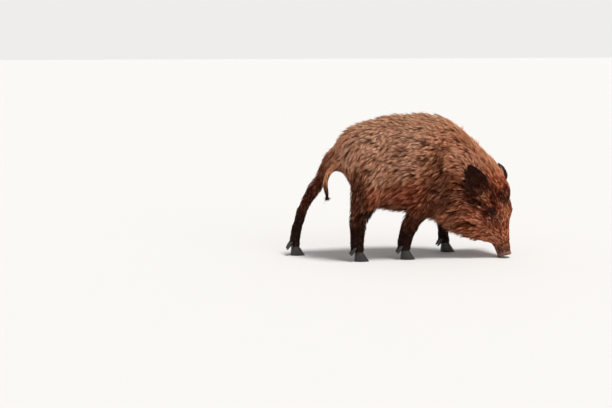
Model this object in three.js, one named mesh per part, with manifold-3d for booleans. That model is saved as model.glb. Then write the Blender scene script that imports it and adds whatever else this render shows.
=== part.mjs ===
// A wild boar in its winter coat, life size, walking with its snout to the ground as it roots.
// Millimetres. +X is the way it walks, +Y its left side, +Z up, and the hooves and snout stand on z = 0.
// The flesh is one smooth body, modelled out to the tips of the coat and parted by thin cuts into
// trunk, neck, head, lower jaw, snout disc, ears, tail and legs. Hooves, dewclaws and eyes are solids
// of their own. The body is a field that is negative inside, built from tapering tubes that melt together.
import * as THREE from "three";
import { mergeVertices } from "three/addons/utils/BufferGeometryUtils.js";
import Module from "manifold-3d";

const wasm = await Module();
wasm.setup();

// ---- Driving dimensions ----
const GAP = 0.4; // between neighbouring solids
const BACK_HEIGHT = 768; // floor to the top of the crest
const BELLY_HEIGHT = 250; // floor to the hair under the belly
const TRUNK_HALF_WIDTH = 192;
const HEAD_LENGTH = 392; // occiput to snout disc
const HEAD_PITCH = 73; // degrees that the snout points below the horizon
const HEAD_YAW = 48; // degrees that the face turns to the boar's right
const EYE_RADIUS = 12;
const EAR_LENGTH = 148;
const HOOF_HEIGHT = 46;
const TRUNK_STEP = 46.5; // grid step of each part's surface
const NECK_STEP = 40;
const HEAD_STEP = 20.5;
const LEG_STEP = 29.3;
const TAIL_STEP = 15;
const SHORTEST_EDGE = 0.3; // a cut may leave shorter ones, and they are drawn together

const vec = (x, y, z) => new THREE.Vector3(x, y, z);
const X_AXIS = vec(1, 0, 0);
const Y_AXIS = vec(0, 1, 0);
const Z_AXIS = vec(0, 0, 1);
const degrees = THREE.MathUtils.degToRad;
const sides = { right: -1, left: 1 };

// ---- Fields ----
// A tube along a smooth curve. Each station is [centre, half width, half height above, half height below],
// and its section is an ellipse with its own height above and below the centre line. `side` is the
// direction of the half width, and above is the course of the tube turned towards it, which for a tube
// that runs forward is up and for one that runs down is forward. Both ends are rounded.
function tube(stations, side = Y_AXIS) {
  const stepsPerStation = 3;
  const farOff = 120; // beyond this a rough distance will do, as nothing melts from so far
  const path = new THREE.CatmullRomCurve3(stations.map(([at]) => at), false, "centripetal");
  const sizes = new THREE.CatmullRomCurve3(
    stations.map(([, wide, above, below = above]) => vec(wide, above, below)),
  );
  const count = (stations.length - 1) * stepsPerStation;
  const joints = Array.from({ length: count + 1 }, (_, i) => ({
    at: path.getPoint(i / count),
    size: sizes.getPoint(i / count),
  }));
  const pieces = joints.slice(1).map((end, i) => {
    const start = joints[i];
    const along = end.at.clone().sub(start.at);
    const length = along.length();
    along.divideScalar(length);
    const across = side.clone().addScaledVector(along, -side.dot(along)).normalize();
    return { start, end, along, length, across, up: along.clone().cross(across) };
  });
  const box = new THREE.Box3().setFromPoints(joints.map((j) => j.at));
  const widest = Math.max(...joints.map((j) => Math.max(j.size.x, j.size.y, j.size.z)));
  const offset = new THREE.Vector3();
  return (p) => {
    const outside = box.distanceToPoint(p) - widest;
    if (outside > farOff) return outside;
    let nearest = Infinity;
    for (const { start, end, along, length, across, up } of pieces) {
      offset.copy(p).sub(start.at);
      const run = offset.dot(along);
      const share = THREE.MathUtils.clamp(run / length, 0, 1);
      const beyond = run - share * length;
      const wide = THREE.MathUtils.lerp(start.size.x, end.size.x, share);
      const over = offset.dot(up);
      const high = over > 0
        ? THREE.MathUtils.lerp(start.size.y, end.size.y, share)
        : THREE.MathUtils.lerp(start.size.z, end.size.z, share);
      const round = Math.min(wide, high);
      nearest = Math.min(nearest, ellipsoidDistance(offset.dot(across), over, beyond, wide, high, round));
    }
    return nearest;
  };
}

// About how far a point (x, y, z) is from an ellipsoid at the origin with half axes a, b and c.
function ellipsoidDistance(x, y, z, a, b, c) {
  const near = Math.hypot(x / a, y / b, z / c);
  const steep = Math.hypot(x / (a * a), y / (b * b), z / (c * c));
  return steep < 1e-9 ? -Math.min(a, b, c) : (near * (near - 1)) / steep;
}

// An ellipsoid with its own axes: `frame` turns its half axes `half` into place about `centre`.
function ellipsoid(centre, half, frame = new THREE.Matrix4()) {
  const turnBack = frame.clone().invert();
  const local = new THREE.Vector3();
  return (p) => {
    local.copy(p).sub(centre).applyMatrix4(turnBack);
    return ellipsoidDistance(local.x, local.y, local.z, half.x, half.y, half.z);
  };
}

// Fields that melt into each other over a distance of `soft`.
function melt(soft, ...fields) {
  return (p) => {
    let sum = fields[0](p);
    for (let i = 1; i < fields.length; i++) {
      const next = fields[i](p);
      const mix = Math.max(soft - Math.abs(sum - next), 0) / soft;
      sum = Math.min(sum, next) - (mix * mix * soft) / 4;
    }
    return sum;
  };
}

// ---- From field to solid ----
// The closed surface where the field is 0, as a solid: one vertex in each grid cell that the surface
// crosses, set onto the surface, and one quad round each grid edge that it crosses.
function solidOf(field, box, step) {
  const size = box.getSize(new THREE.Vector3()).divideScalar(step).ceil();
  const [nx, ny, nz] = [size.x + 1, size.y + 1, size.z + 1];
  const index = (i, j, k) => (k * ny + j) * nx + i;
  const values = new Float32Array(nx * ny * nz);
  const p = new THREE.Vector3();
  const place = (i, j, k) => p.set(box.min.x + i * step, box.min.y + j * step, box.min.z + k * step);
  const rim = (i, n) => i === 0 || i === n - 1;
  for (let k = 0; k < nz; k++)
    for (let j = 0; j < ny; j++)
      for (let i = 0; i < nx; i++) {
        const value = field(place(i, j, k));
        values[index(i, j, k)] = rim(i, nx) || rim(j, ny) || rim(k, nz) ? Math.max(value, step / 4) : value;
      }
  const corners = [0, 1, 2, 3, 4, 5, 6, 7].map((c) => vec(c & 1, (c >> 1) & 1, c >> 2));
  const edges = corners.flatMap((from, c) =>
    [1, 2, 4].filter((bit) => !(c & bit)).map((bit) => [from, corners[c | bit]]),
  );
  const cellVertex = new Map();
  const vertices = [];
  for (let k = 0; k < nz - 1; k++)
    for (let j = 0; j < ny - 1; j++)
      for (let i = 0; i < nx - 1; i++) {
        const sum = new THREE.Vector3();
        let crossings = 0;
        for (const [from, to] of edges) {
          const start = values[index(i + from.x, j + from.y, k + from.z)];
          const end = values[index(i + to.x, j + to.y, k + to.z)];
          if (start < 0 === end < 0) continue;
          sum.add(from.clone().lerp(to, start / (start - end)));
          crossings++;
        }
        if (!crossings) continue;
        const { x, y, z } = sum.divideScalar(crossings);
        cellVertex.set(index(i, j, k), vertices.length);
        vertices.push(ontoSurface(field, place(i + x, j + y, k + z), step));
      }
  const triangles = [];
  const quad = (cells, flip) => {
    const [a, b, c, d] = cells.map(([i, j, k]) => cellVertex.get(index(i, j, k)));
    const byFirst = vertices[a].distanceTo(vertices[c]) <= vertices[b].distanceTo(vertices[d]);
    const pair = byFirst ? [[a, b, c], [a, c, d]] : [[a, b, d], [b, c, d]];
    for (const t of pair) triangles.push(...(flip ? t.reverse() : t));
  };
  for (let k = 0; k < nz - 1; k++)
    for (let j = 0; j < ny - 1; j++)
      for (let i = 0; i < nx - 1; i++) {
        const inside = values[index(i, j, k)] < 0;
        if (j && k && inside !== values[index(i + 1, j, k)] < 0)
          quad([[i, j - 1, k - 1], [i, j, k - 1], [i, j, k], [i, j - 1, k]], !inside);
        if (i && k && inside !== values[index(i, j + 1, k)] < 0)
          quad([[i - 1, j, k - 1], [i - 1, j, k], [i, j, k], [i, j, k - 1]], !inside);
        if (i && j && inside !== values[index(i, j, k + 1)] < 0)
          quad([[i - 1, j - 1, k], [i, j - 1, k], [i, j, k], [i - 1, j, k]], !inside);
      }
  return manifoldOf(vertices.flatMap((v) => v.toArray()), triangles);
}

// Slides a point down the field's slope until it lies on the surface, by at most half a step.
function ontoSurface(field, start, step) {
  const p = start.clone();
  const feel = 0.5; // half the distance over which the slope is felt
  const leastSlope = 0.2; // keeps the stride short where the field is nearly level
  const felt = (axis, way) => field(p.clone().addScaledVector(axis, way * feel));
  const rise = (axis) => (felt(axis, 1) - felt(axis, -1)) / (2 * feel);
  for (let round = 0; round < 3; round++) {
    const slope = vec(rise(X_AXIS), rise(Y_AXIS), rise(Z_AXIS));
    p.addScaledVector(slope, -field(p) / Math.max(slope.lengthSq(), leastSlope));
  }
  return start.clone().add(p.sub(start).clampLength(0, step / 2));
}

function manifoldOf(positions, triangles) {
  const vertProperties = new Float32Array(positions);
  const triVerts = new Uint32Array(triangles);
  return new wasm.Manifold(new wasm.Mesh({ numProp: 3, vertProperties, triVerts }));
}

// The biggest body of a solid that a cut has left in several.
function largest(solid) {
  return solid.decompose().reduce((best, next) => (next.volume() > best.volume() ? next : best));
}

// A solid's mesh as a geometry. An edge shorter than SHORTEST_EDGE is drawn together into one of its ends,
// as long as its ends have just two neighbours in common, which keeps the surface closed, and no triangle
// round it turns over.
function geometryOf(solid) {
  const { vertProperties, triVerts } = solid.getMesh();
  const at = (v) => vec(...vertProperties.subarray(3 * v, 3 * v + 3));
  const facing = ([a, b, c]) => at(b).sub(at(a)).cross(at(c).sub(at(a)));
  const corners = (t) => [...triVerts.subarray(3 * t, 3 * t + 3)];
  let triangles = Array.from({ length: triVerts.length / 3 }, (_, t) => corners(t));
  let drawn;
  do {
    const around = new Map(triangles.flat().map((v) => [v, []]));
    for (const t of triangles) for (const v of t) around.get(v).push(t);
    const nearTo = (v) => new Set(around.get(v).flat().filter((w) => w !== v));
    const moved = (t, v, w) => t.map((u) => (u === v ? w : u));
    const turnsOver = (v, w) =>
      around.get(v).some((t) => !t.includes(w) && facing(t).dot(facing(moved(t, v, w))) <= 0);
    const settled = new Set();
    drawn = new Map();
    for (const v of around.keys()) {
      const near = nearTo(v);
      for (const w of near) {
        if (at(v).distanceTo(at(w)) >= SHORTEST_EDGE) continue;
        const beside = nearTo(w);
        const touched = [v, ...near, ...beside];
        if ([...near].filter((u) => beside.has(u)).length !== 2) continue;
        if (touched.some((u) => settled.has(u)) || turnsOver(v, w)) continue;
        drawn.set(v, w);
        touched.forEach((u) => settled.add(u));
      }
    }
    triangles = triangles.map((t) => t.map((v) => drawn.get(v) ?? v)).filter((t) => new Set(t).size === 3);
  } while (drawn.size);
  const geometry = new THREE.BufferGeometry();
  geometry.setAttribute("position", new THREE.BufferAttribute(vertProperties, 3));
  geometry.setIndex(triangles.flat());
  return mergeVertices(geometry, 1e-4);
}

// A three.js geometry, set in place by a matrix, as a solid.
function solidFrom(geometry, matrix = new THREE.Matrix4()) {
  const bare = geometry.clone().applyMatrix4(matrix);
  bare.deleteAttribute("normal");
  bare.deleteAttribute("uv");
  const merged = mergeVertices(bare, 1e-3);
  return manifoldOf(merged.attributes.position.array, merged.index.array);
}

// The matrix that turns direction `from` into `to` and moves the origin to `point`.
function turned(from, to, point) {
  const turn = new THREE.Quaternion().setFromUnitVectors(from, to.clone().normalize());
  return new THREE.Matrix4().makeRotationFromQuaternion(turn).setPosition(point);
}

// Everything on the side of a plane that `normal` points to, as far as the boar reaches.
function halfSpace(point, normal) {
  const reach = 3000;
  const slab = new THREE.BoxGeometry(reach, reach, reach).translate(0, 0, reach / 2);
  return solidFrom(slab, turned(Z_AXIS, normal, point));
}

const boxOf = (x0, x1, y0, y1, z0, z1) => new THREE.Box3(vec(x0, y0, z0), vec(x1, y1, z1));

// ---- Trunk and neck: one tube from the rump over the arched back and down the neck to the poll ----
// The spine bends, so that the rump and the head both lie to the right of the middle of the back.
function level(x, y, top, bottom, halfWidth) {
  return [vec(x, y, (top + bottom) / 2), halfWidth, (top - bottom) / 2];
}
const trunkTube = tube([
  level(-348, -34, 700, 470, 124),
  level(-270, -25, 747, 376, 158),
  level(-178, -13, 766, 268, 180),
  level(-60, -2, BACK_HEIGHT, BELLY_HEIGHT, TRUNK_HALF_WIDTH),
  level(60, 0, BACK_HEIGHT - 2, BELLY_HEIGHT - 4, 188),
  [vec(150, 0, 494), 165, 202, 240],
  [vec(228, -6, 440), 124, 178, 194],
  [vec(300, -12, 380), 88, 184, 160],
  [vec(352, -32, 330), 72, 156, 112],
]);
const throatTube = tube([
  [vec(60, 0, 380), 104, 100, 146],
  [vec(150, -8, 345), 124, 110, 134],
  [vec(222, -42, 238), 96, 88, 108],
  [vec(286, -72, 190), 84, 82, 94],
  [vec(345, -92, 140), 56, 56, 60],
]);

// ---- Head: its own frame, with the snout along `forward`, the forehead facing `dorsal` ----
const yaw = degrees(-HEAD_YAW);
const pitch = degrees(HEAD_PITCH);
const forward = vec(Math.cos(yaw) * Math.cos(pitch), Math.sin(yaw) * Math.cos(pitch), -Math.sin(pitch));
const dorsal = vec(Math.cos(yaw) * Math.sin(pitch), Math.sin(yaw) * Math.sin(pitch), Math.cos(pitch));
const leftward = dorsal.clone().cross(forward);
const chinward = dorsal.clone().negate();
const NOSE = vec(445, -120, 10.5); // middle of the snout disc
const headAxes = new THREE.Matrix4().makeBasis(forward, leftward, dorsal);
// A point of the head: how far behind the snout disc, to the boar's left, and above the mouth line.
function onHead(behind, left, above) {
  const level = NOSE.clone().addScaledVector(forward, -behind);
  return level.addScaledVector(leftward, left).addScaledVector(dorsal, above);
}

const headTube = tube(
  [
    [onHead(HEAD_LENGTH - 30, 0, -20), 96, 96, 96],
    [onHead(310, 0, -14), 102, 98, 108],
    [onHead(240, 0, -2), 88, 86, 104],
    [onHead(175, 0, 6), 64, 62, 88],
    [onHead(110, 0, 6), 47, 48, 68],
    [onHead(40, 0, 2), 38, 41, 47],
    [onHead(18, 0, 0), 37, 38, 38],
  ],
  leftward,
);
const cheek = (way) => ellipsoid(onHead(248, way * 58, -90), vec(114, 50, 98), headAxes);
const brow = (way) => ellipsoid(onHead(254, way * 50, 62), vec(40, 24, 20), headAxes);
const crown = ellipsoid(onHead(340, 0, 74), vec(72, 50, 50), headAxes);
const fleshyCheeks = melt(36, headTube, cheek(sides.right), cheek(sides.left));
const headField = melt(26, fleshyCheeks, crown, brow(sides.right), brow(sides.left));

// ---- Legs: stations run from the muscle inside the trunk down to the top of the hoof ----
// Each station is [x, y, height, half width, half length to the front, half length to the back]. `cut` is
// where the leg is parted from the trunk: the top of the part, how steeply that plane rises outwards,
// the course of the leg below it, and half the part's length and width.
function leg(stations) {
  return tube(stations.map(([x, y, z, wide, front, back]) => [vec(x, y, z), wide, front, back]));
}
const legs = {
  foreleg_right: {
    way: sides.right,
    field: leg([
      [106, -98, 455, 62, 96, 108],
      [58, -106, 352, 57, 74, 82],
      [4, -110, 280, 49, 56, 66],
      [-50, -111, 208, 42, 47, 52],
      [-82, -112, 154, 39, 43, 46],
      [-96, -112, 106, 35, 44, 42],
      [-101, -112, 62, 35, 34, 36],
      [-94, -112, 36, 35, 35, 31],
    ]),
    foot: vec(-90, -112, 0),
    cut: {
      top: vec(36, -118, 310),
      outward: 0.5,
      course: vec(-0.45, 0, -1),
      halfLength: 94,
      halfWidth: 86,
    },
  },
  foreleg_left: {
    way: sides.left,
    field: leg([
      [120, 98, 455, 62, 92, 100],
      [118, 104, 345, 56, 66, 70],
      [136, 106, 272, 45, 46, 62],
      [152, 107, 200, 36, 37, 39],
      [156, 108, 150, 35, 36, 36],
      [158, 108, 100, 31, 31, 31],
      [160, 108, 62, 34, 32, 34],
      [168, 108, 36, 35, 34, 30],
    ]),
    foot: vec(173, 108, 0),
    cut: {
      top: vec(128, 118, 310),
      outward: 0.5,
      course: vec(0.15, 0, -1),
      halfLength: 88,
      halfWidth: 86,
    },
  },
  hindleg_right: {
    way: sides.right,
    field: leg([
      [-318, -122, 540, 82, 112, 92],
      [-308, -136, 430, 74, 90, 84],
      [-314, -143, 350, 60, 82, 84],
      [-336, -146, 285, 45, 76, 68],
      [-358, -147, 236, 38, 68, 46],
      [-360, -147, 170, 35, 50, 39],
      [-359, -147, 105, 34, 40, 38],
      [-358, -147, 64, 35, 36, 36],
      [-349, -147, 36, 35, 35, 30],
    ]),
    foot: vec(-344, -147, 0),
    cut: {
      top: vec(-312, -120, 372),
      outward: 0.35,
      course: vec(-0.14, 0, -1),
      halfLength: 116,
      halfWidth: 112,
    },
  },
  hindleg_left: {
    way: sides.left,
    field: leg([
      [-384, 64, 546, 80, 84, 82],
      [-474, 70, 498, 66, 42, 52],
      [-510, 74, 444, 52, 34, 32],
      [-540, 77, 394, 44, 36, 34],
      [-572, 79, 344, 38, 36, 36],
      [-604, 80, 292, 35, 33, 31],
      [-632, 81, 226, 32, 31, 31],
      [-652, 81, 150, 31, 31, 31],
      [-663, 81, 100, 31, 31, 32],
      [-668, 81, 66, 34, 32, 34],
      [-664, 81, 36, 35, 34, 30],
    ]),
    foot: vec(-659, 81, 0),
    cut: {
      top: vec(-492, 72, 464),
      outward: 0.35,
      course: vec(-0.42, 0, -1),
      halfLength: 118,
      halfWidth: 112,
    },
  },
};

const torso = melt(46, melt(60, trunkTube, headField), throatTube);
const body = melt(54, torso, ...Object.values(legs).map((one) => one.field));

// The part of the body that is one leg: a slanting box down to the floor, under a plane that rises
// outwards, so that the leg takes its muscle from the flank and none of the belly. `grow` widens it.
function legRegion({ way, cut }, grow = 0) {
  const length = 900; // longer than any leg
  const up = cut.course.clone().normalize().negate();
  const frame = new THREE.Matrix4().makeBasis(Y_AXIS.clone().cross(up), Y_AXIS, up);
  const block = new THREE.BoxGeometry(2 * (cut.halfLength + grow), 2 * (cut.halfWidth + grow), length);
  const slanted = solidFrom(block, frame.setPosition(cut.top));
  const normal = vec(0, way * cut.outward, -1).normalize();
  return slanted.intersect(halfSpace(cut.top.clone().addScaledVector(normal, -grow), normal));
}

// ---- Where the neck and the head are parted from the trunk ----
const neckCut = { at: vec(190, -10, 470), normal: vec(0.82, -0.2, -0.34) };
const headCut = { at: onHead(312, 0, -20), normal: forward.clone().addScaledVector(dorsal, 0.3) };
function beyond({ at, normal }, shift = 0) {
  return halfSpace(at.clone().addScaledVector(normal.clone().normalize(), shift), normal);
}

const trunkBox = boxOf(-560 - TRUNK_STEP, 420, -300, 280, 200, 820);
const neckBox = boxOf(80, 560, -280, 220, 60, 760);
const headBox = boxOf(160, 600, -320, 130, -20, 520);
const legRegions = Object.values(legs).map((one) => legRegion(one, GAP));
const withoutLegs = (solid) => legRegions.reduce((rest, region) => rest.subtract(region), solid);
const wholeTrunk = solidOf(body, trunkBox, TRUNK_STEP);
const trunk = withoutLegs(wholeTrunk).subtract(beyond(neckCut, -GAP));
const foreBody = withoutLegs(solidOf(body, neckBox, NECK_STEP));
const neck = foreBody.intersect(beyond(neckCut)).subtract(beyond(headCut, -GAP));
const aboveFloor = halfSpace(vec(0, 0, 0), Z_AXIS);
const headAndThroat = withoutLegs(solidOf(torso, headBox, HEAD_STEP)).intersect(aboveFloor);
const wholeHead = headAndThroat.intersect(beyond(headCut));

// ---- Lower jaw: parted from the muzzle along the mouth ----
const DISC_DEPTH = 16;
const MOUTH_LENGTH = 190;
const MOUTH_DROP = 17; // how far the mouth lies below the middle of the muzzle
const discBack = { at: onHead(DISC_DEPTH, 0, 0), normal: forward };
const jawTop = { at: onHead(30, 0, -MOUTH_DROP), normal: chinward.clone().addScaledVector(forward, 0.1) };
const jawBack = { at: onHead(MOUTH_LENGTH, 0, 0), normal: forward.clone().addScaledVector(dorsal, 0.35) };
const muzzle = wholeHead.subtract(beyond(discBack));
const lowerJaw = muzzle.intersect(beyond(jawTop)).intersect(beyond(jawBack));
const jawSpace = beyond(jawTop, -GAP).intersect(beyond(jawBack, -GAP));

// A closed solid through rings of points that all have the same number of points.
function loft(rings) {
  const count = rings[0].length;
  const mean = (ring) => ring.reduce((sum, p) => sum.add(p), vec(0, 0, 0)).divideScalar(count);
  const vertices = [...rings.flat(), mean(rings[0]), mean(rings.at(-1))];
  const [firstCap, lastCap] = [vertices.length - 2, vertices.length - 1];
  const lastRing = (rings.length - 1) * count;
  const triangles = [];
  for (let i = 0; i < count; i++) {
    const next = (i + 1) % count;
    triangles.push(firstCap, next, i, lastCap, lastRing + i, lastRing + next);
    for (let r = 0; r < rings.length - 1; r++) {
      const [low, high] = [r * count, (r + 1) * count];
      triangles.push(low + i, low + next, high + next, low + i, high + next, high + i);
    }
  }
  const positions = vertices.flatMap((v) => v.toArray());
  const solid = manifoldOf(positions, triangles);
  return solid.volume() > 0 ? solid : manifoldOf(positions, triangles.reverse());
}

// ---- Snout disc: a flat oval with a lip round it and two nostrils, its lower edge on the floor ----
const discRings = [
  [DISC_DEPTH - GAP, 37, 39],
  [8, 39.5, 41],
  [2, 38.5, 39.5],
  [-2, 34, 35],
].map(([behind, halfWidth, halfHeight]) =>
  Array.from({ length: 20 }, (_, i) => {
    const turn = (Math.PI * i) / 10;
    return onHead(behind, halfWidth * Math.cos(turn), halfHeight * Math.sin(turn));
  }),
);
const nostrils = Object.values(sides).map((way) => {
  const pit = new THREE.SphereGeometry(1, 10, 6).scale(14, 5.5, 7.5);
  return solidFrom(pit, headAxes.clone().setPosition(onHead(-2, way * 15, 6)));
});
const snoutDisc = nostrils.reduce((rest, pit) => rest.subtract(pit), loft(discRings)).intersect(aboveFloor);

// ---- Eyes: balls in the sides of the head, each in a socket that flares out through the coat ----
const eyeAt = (way) => onHead(236, way * 74, 44);
function ball(way, radius) {
  return solidFrom(new THREE.SphereGeometry(radius, 12, 8), new THREE.Matrix4().setPosition(eyeAt(way)));
}
function flare(way) {
  const cone = new THREE.CylinderGeometry(EYE_RADIUS * 1.5, EYE_RADIUS * 0.9, EYE_RADIUS * 1.4, 14);
  const out = leftward.clone().multiplyScalar(way);
  out.addScaledVector(dorsal, 0.35).addScaledVector(forward, 0.25);
  return solidFrom(cone.translate(0, EYE_RADIUS * 1.15, 0), turned(Y_AXIS, out, eyeAt(way)));
}

// ---- Ears: a leaf, rolled into a trough that opens out and forward ----
const EAR_ROOTED = 0.22 * EAR_LENGTH; // how far the root runs down into the head
const EAR_BEND = 48; // how far inwards the root bends as it does so
const EAR_SPREAD = 0.48; // how far the tips lean apart
const EAR_LEAN = { [sides.right]: 0.12, [sides.left]: -0.4 }; // the right one is up, the left one laid back
const EAR_THICKNESS = { root: 15, tip: 7 };
const earRoot = (way) => onHead(370, way * 120, 24);
function earFrame(way) {
  const tip = forward.clone().negate().addScaledVector(leftward, way * EAR_SPREAD);
  tip.addScaledVector(dorsal, EAR_LEAN[way]).normalize();
  const face = leftward.clone().multiplyScalar(way).addScaledVector(dorsal, 0.7);
  face.addScaledVector(tip, -face.dot(tip)).normalize();
  return { tip, face, across: face.clone().cross(tip) };
}
// The ear's half width at a share t of its length: a narrow root, widest in the middle, a round point.
function earHalfWidth(t) {
  const leaf = Math.sin(Math.PI * t ** 0.8);
  const blunt = 1 - 0.5 * t ** 6;
  return EAR_LENGTH * (0.15 + 0.28 * leaf) * blunt;
}
function ear(way) {
  const { tip, face, across } = earFrame(way);
  const steps = 8;
  const folds = 6; // facets from one rim of the trough to the other
  const places = Array.from({ length: folds + 1 }, (_, i) => -Math.cos((Math.PI * i) / folds));
  const rings = Array.from({ length: steps + 1 }, (_, s) => {
    const t = s / steps;
    const rooted = Math.max(0, 1 - t / 0.35);
    const axis = earRoot(way).addScaledVector(tip, t * (EAR_LENGTH + EAR_ROOTED) - EAR_ROOTED);
    axis.addScaledVector(leftward, -way * EAR_BEND * rooted ** 2);
    const half = earHalfWidth(t);
    const trough = half * (0.75 - 0.45 * t) * (1 - rooted);
    const halfThick = THREE.MathUtils.lerp(EAR_THICKNESS.root, EAR_THICKNESS.tip, t) / 2;
    const edge = (u, lift) => {
      const height = trough * (u * u - 0.5) + lift * halfThick * Math.sqrt(1 - u * u);
      return axis.clone().addScaledVector(across, u * half).addScaledVector(face, height);
    };
    const front = places.map((u) => edge(u, 1));
    const back = places.slice(1, -1).reverse().map((u) => edge(u, -1));
    return [...front, ...back];
  });
  return loft(rings);
}
const SEAT_GAP = 1.5 * GAP; // how far a root stands off the skin that it is cut against
const ears = Object.entries(sides).map(([side, way]) => {
  const off = leftward.clone().multiplyScalar(way * SEAT_GAP).toArray();
  const outside = ear(way).subtract(foreBody.translate(off)).subtract(headAndThroat.translate(off));
  return [`ear_${side}`, largest(outside)];
});

// ---- Tail: hangs from the rump and ends in a thin tassel ----
const tailField = tube([
  [vec(-405, -50, 562), 20, 20],
  [vec(-446, -54, 528), 17, 17],
  [vec(-492, -58, 474), 14, 14],
  [vec(-516, -60, 420), 13, 13],
  [vec(-514, -60, 370), 12, 12],
  [vec(-500, -60, 324), 9, 9],
]);
const tailBox = boxOf(-570, -360, -110, 0, 290, 600);
const tailSeat = wholeTrunk.translate([-SEAT_GAP, 0, 0]);
const tail = largest(solidOf(tailField, tailBox, TAIL_STEP).subtract(tailSeat));

// ---- Feet: two hooves side by side and two dewclaws behind and above them ----
// One hoof is lofted from its flat sole up to the hair line: a half oval with a flat inner side.
const HOOF = { toe: 50, heel: 30, halfWidth: 27, swell: 3, cleft: 1.5 };
const TOE_SLOPE = 0.75; // how far the front wall runs back for each millimetre it rises
const HEEL_SLOPE = 0.09; // how far the back wall runs forward
function hoof(foot, way) {
  const facets = 10;
  const rings = [0, 16, HOOF_HEIGHT].map((z) => {
    const front = HOOF.toe - z * TOE_SLOPE;
    const back = z * HEEL_SLOPE - HOOF.heel;
    const wide = HOOF.halfWidth + HOOF.swell * Math.sin((Math.PI * z) / HOOF_HEIGHT);
    return Array.from({ length: facets + 1 }, (_, i) => {
      const turn = Math.PI * (i / facets - 0.5);
      const bulge = Math.max(Math.cos(turn), 0) ** 0.7;
      const along = (front + back) / 2 + (Math.sin(turn) * (front - back)) / 2;
      return vec(along, way * (HOOF.cleft + wide * bulge), z).add(foot);
    });
  });
  return loft(rings);
}
// A dewclaw is a small horn behind the foot. `grow` swells it, to cut its seat.
const DEWCLAW = { root: vec(-24, 19, 76), tip: vec(-50, 25, 34), radii: [10, 10.5, 5] };
function dewclaw(foot, way, grow = 0) {
  const facets = 8;
  const mirror = vec(1, way, 1);
  const [root, tip] = [DEWCLAW.root, DEWCLAW.tip].map((p) => p.clone().multiply(mirror).add(foot));
  root.z += grow;
  tip.z -= grow;
  const rings = DEWCLAW.radii.map((radius, r) =>
    Array.from({ length: facets }, (_, i) => {
      const turn = (2 * Math.PI * i) / facets;
      const out = vec(Math.cos(turn), Math.sin(turn), 0).multiplyScalar(radius + grow);
      return root.clone().lerp(tip, r / 2).add(out);
    }),
  );
  return loft(rings);
}

// ---- The pieces: each a name, a solid and a material ----
const pieces = [
  ["trunk", trunk, "coat_back"],
  ["neck", neck, "coat_back"],
  ["tail", tail, "coat_dark"],
  ["lower_jaw", lowerJaw, "coat_face"],
];
for (const [name, solid] of ears) pieces.push([name, solid, "coat_dark"]);

let head = muzzle.subtract(jawSpace);
for (const [side, way] of Object.entries(sides)) {
  head = head.subtract(ball(way, EYE_RADIUS + GAP)).subtract(flare(way));
  pieces.push([`eye_${side}`, ball(way, EYE_RADIUS), "eye"]);
}
pieces.push(["head", head, "coat_face"], ["snout_disc", snoutDisc, "snout_skin"]);

const LEG_MARGIN = 135; // how far a leg's flesh reaches from the line between its foot and its top
for (const [name, one] of Object.entries(legs)) {
  const reach = new THREE.Box3().setFromPoints([one.foot, one.cut.top]).expandByScalar(LEG_MARGIN);
  const hairLine = halfSpace(vec(0, 0, HOOF_HEIGHT + GAP), Z_AXIS);
  let limb = solidOf(body, reach, LEG_STEP).intersect(legRegion(one)).intersect(hairLine);
  for (const [where, way] of Object.entries({ inner: -one.way, outer: one.way })) {
    limb = limb.subtract(dewclaw(one.foot, way, GAP));
    pieces.push([`hoof_${name}_${where}`, hoof(one.foot, way), "hoof"]);
    pieces.push([`dewclaw_${name}_${where}`, dewclaw(one.foot, way), "hoof"]);
  }
  pieces.push([name, limb, "coat_dark"]);
}

// ---- Materials and nodes ----
const finish = (color, roughness) => new THREE.MeshStandardMaterial({ color, roughness, metalness: 0 });
const materials = {
  coat_back: finish(0x8f674f, 0.85),
  coat_face: finish(0x6c4330, 0.85),
  coat_dark: finish(0x42291e, 0.85),
  snout_skin: finish(0x5d423a, 0.5),
  hoof: finish(0x2b211c, 0.45),
  eye: finish(0x1a0d08, 0.08),
};
const boar = new THREE.Group();
for (const [name, solid, material] of pieces) {
  const geometry = geometryOf(largest(solid));
  geometry.computeVertexNormals();
  const mesh = new THREE.Mesh(geometry, materials[material]);
  mesh.name = name;
  boar.add(mesh);
}

// The origin goes under the middle of the boar's box, at floor level.
const middle = new THREE.Box3().setFromObject(boar).getCenter(new THREE.Vector3());
boar.position.set(-middle.x, -middle.y, 0);

export default boar;
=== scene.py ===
import math

import bmesh
import bpy
import numpy as np
import openvdb
from mathutils import Matrix, Vector
from mathutils.kdtree import KDTree


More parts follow.
